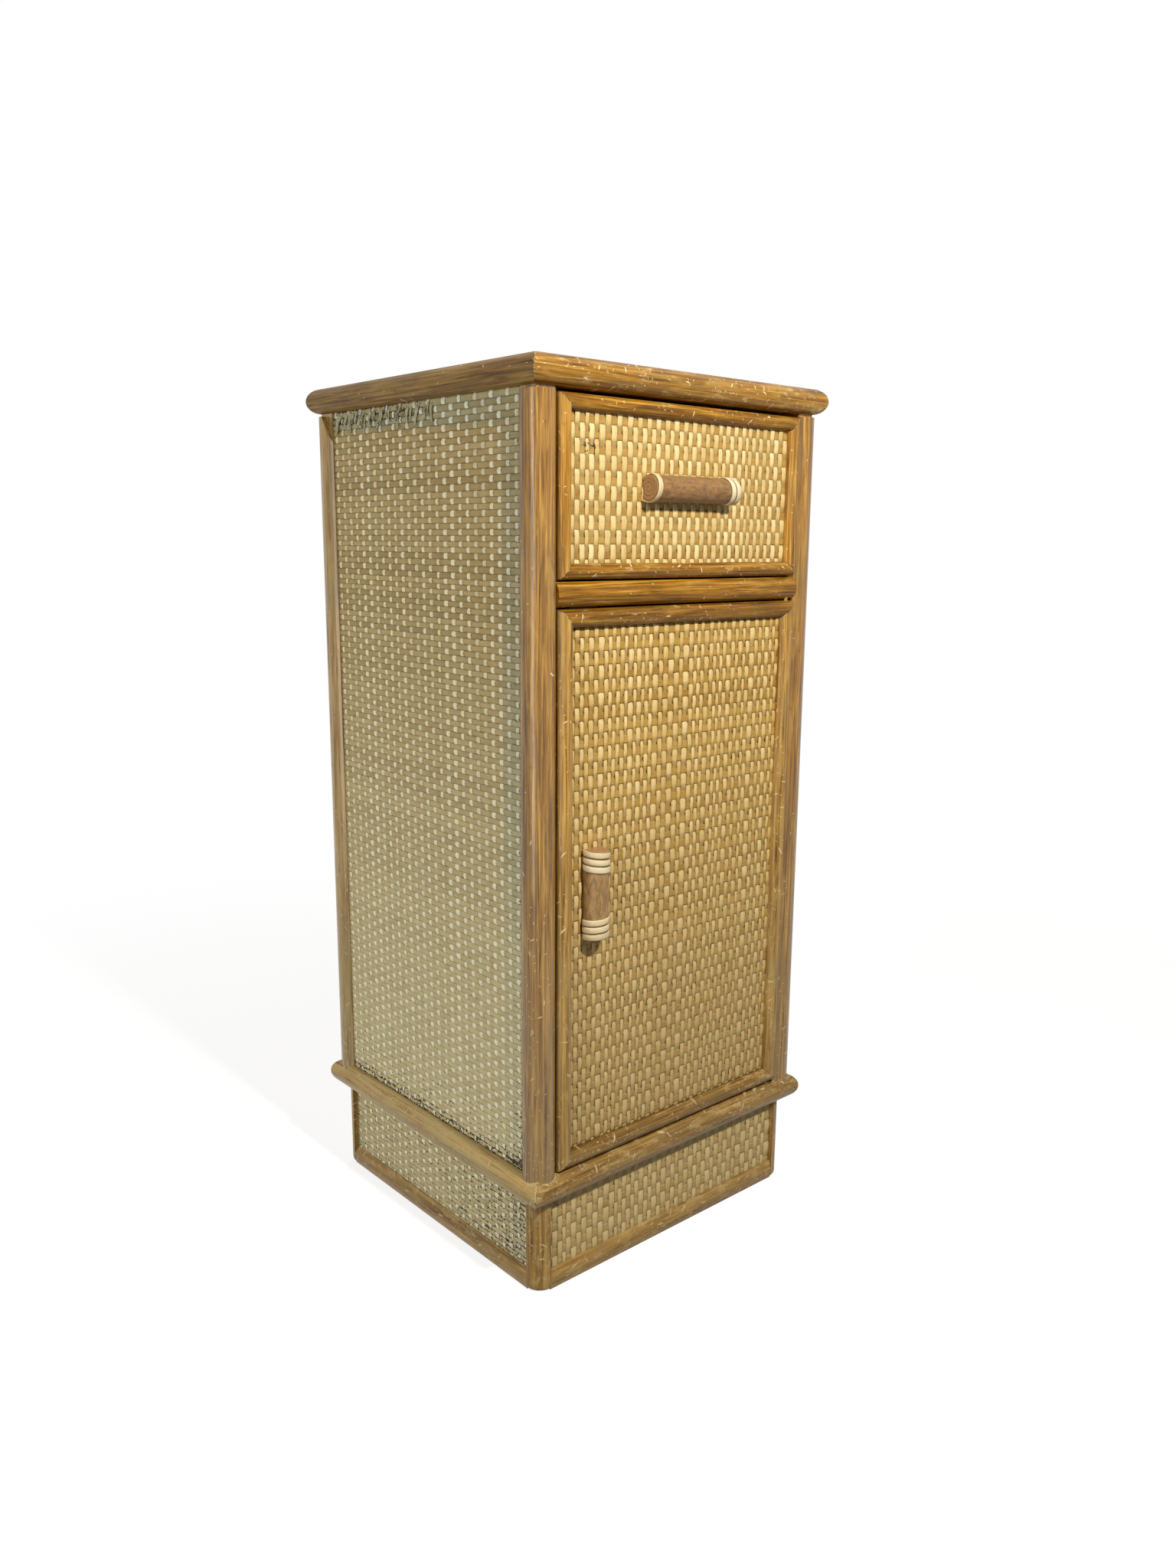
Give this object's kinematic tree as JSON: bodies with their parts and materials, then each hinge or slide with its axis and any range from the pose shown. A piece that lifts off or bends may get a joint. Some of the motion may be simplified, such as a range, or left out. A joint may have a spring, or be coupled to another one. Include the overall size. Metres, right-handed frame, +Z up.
{
  "type": "bedside cabinet",
  "caption": "Tall narrow bedside cabinet in woven rattan with half-round wooden mouldings, a drawer over a hinged door, pole handles and a woven plinth.",
  "frame": {"origin": "on the floor under the middle of the case", "axes": "+Z up, -Y out of the front, +X to the right seen from the front"},
  "size_m": [0.332, 0.3353, 0.75],
  "materials": {
    "stained_wood": "honey-brown stain under worn satin varnish",
    "woven_rattan": "pale straw woven rattan, lightly varnished",
    "rattan_pole": "brown rattan pole, satin",
    "cane": "glossy cane peel",
    "panel_board": "raw plywood",
    "steel": "zinc plated",
    "brass": "turned brass, dulled",
    "catch_plastic": "brown, moulded"
  },
  "bodies": {
    "carcass": {"back_board": "panel_board", "back_woven": "woven_rattan", "band_back": "stained_wood", "band_front": "stained_wood", "band_left": "stained_wood", "band_right": "stained_wood", "bottom_board": "panel_board", "corner_post_back_left": "stained_wood", "corner_post_back_right": "stained_wood", "corner_post_front_left": "stained_wood", "corner_post_front_right": "stained_wood", "divider_board": "panel_board", "door_pivot_pins": "brass", "door_pivot_washer": "brass", "drawer_guide_left": "panel_board", "drawer_guide_right": "panel_board", "drawer_stops": "panel_board", "front_rail": "stained_wood", "magnetic_catch": "catch_plastic", "plinth_board_back": "panel_board", "plinth_board_front": "panel_board", "plinth_board_left": "panel_board", "plinth_board_right": "panel_board", "plinth_corner_posts": "stained_wood", "plinth_trims": "stained_wood", "plinth_woven": "woven_rattan", "side_board_left": "panel_board", "side_board_right": "panel_board", "side_woven_left": "woven_rattan", "side_woven_right": "woven_rattan", "top_core_board": "panel_board", "top_moulding_back": "stained_wood", "top_moulding_front": "stained_wood", "top_moulding_left": "stained_wood", "top_moulding_right": "stained_wood", "top_woven_panel": "woven_rattan"},
    "drawer": {"drawer_back": "panel_board", "drawer_bottom": "panel_board", "drawer_frame_bottom": "stained_wood", "drawer_frame_left": "stained_wood", "drawer_frame_right": "stained_wood", "drawer_frame_top": "stained_wood", "drawer_handle": "rattan_pole", "drawer_handle_binding": "cane", "drawer_handle_screws": "steel", "drawer_panel_board": "panel_board", "drawer_side_left": "panel_board", "drawer_side_right": "panel_board", "drawer_woven_panel": "woven_rattan"},
    "door": {"door_frame_bottom": "stained_wood", "door_frame_left": "stained_wood", "door_frame_right": "stained_wood", "door_frame_top": "stained_wood", "door_handle": "rattan_pole", "door_handle_binding": "cane", "door_handle_screws": "steel", "door_panel_board": "panel_board", "door_woven_panel": "woven_rattan", "catch_keeper_plate": "steel"}
  },
  "joints": [
    {"name": "drawer_slide", "type": "slide", "parent": "carcass", "child": "drawer", "axis": [0, -1, 0], "range_m": [0, 0.19]},
    {"name": "door_hinge", "type": "hinge", "parent": "carcass", "child": "door", "pos_m": [0.1293, -0.154, 0.337], "axis": [0, 0, 1], "range_deg": [0, 90]}
  ]
}
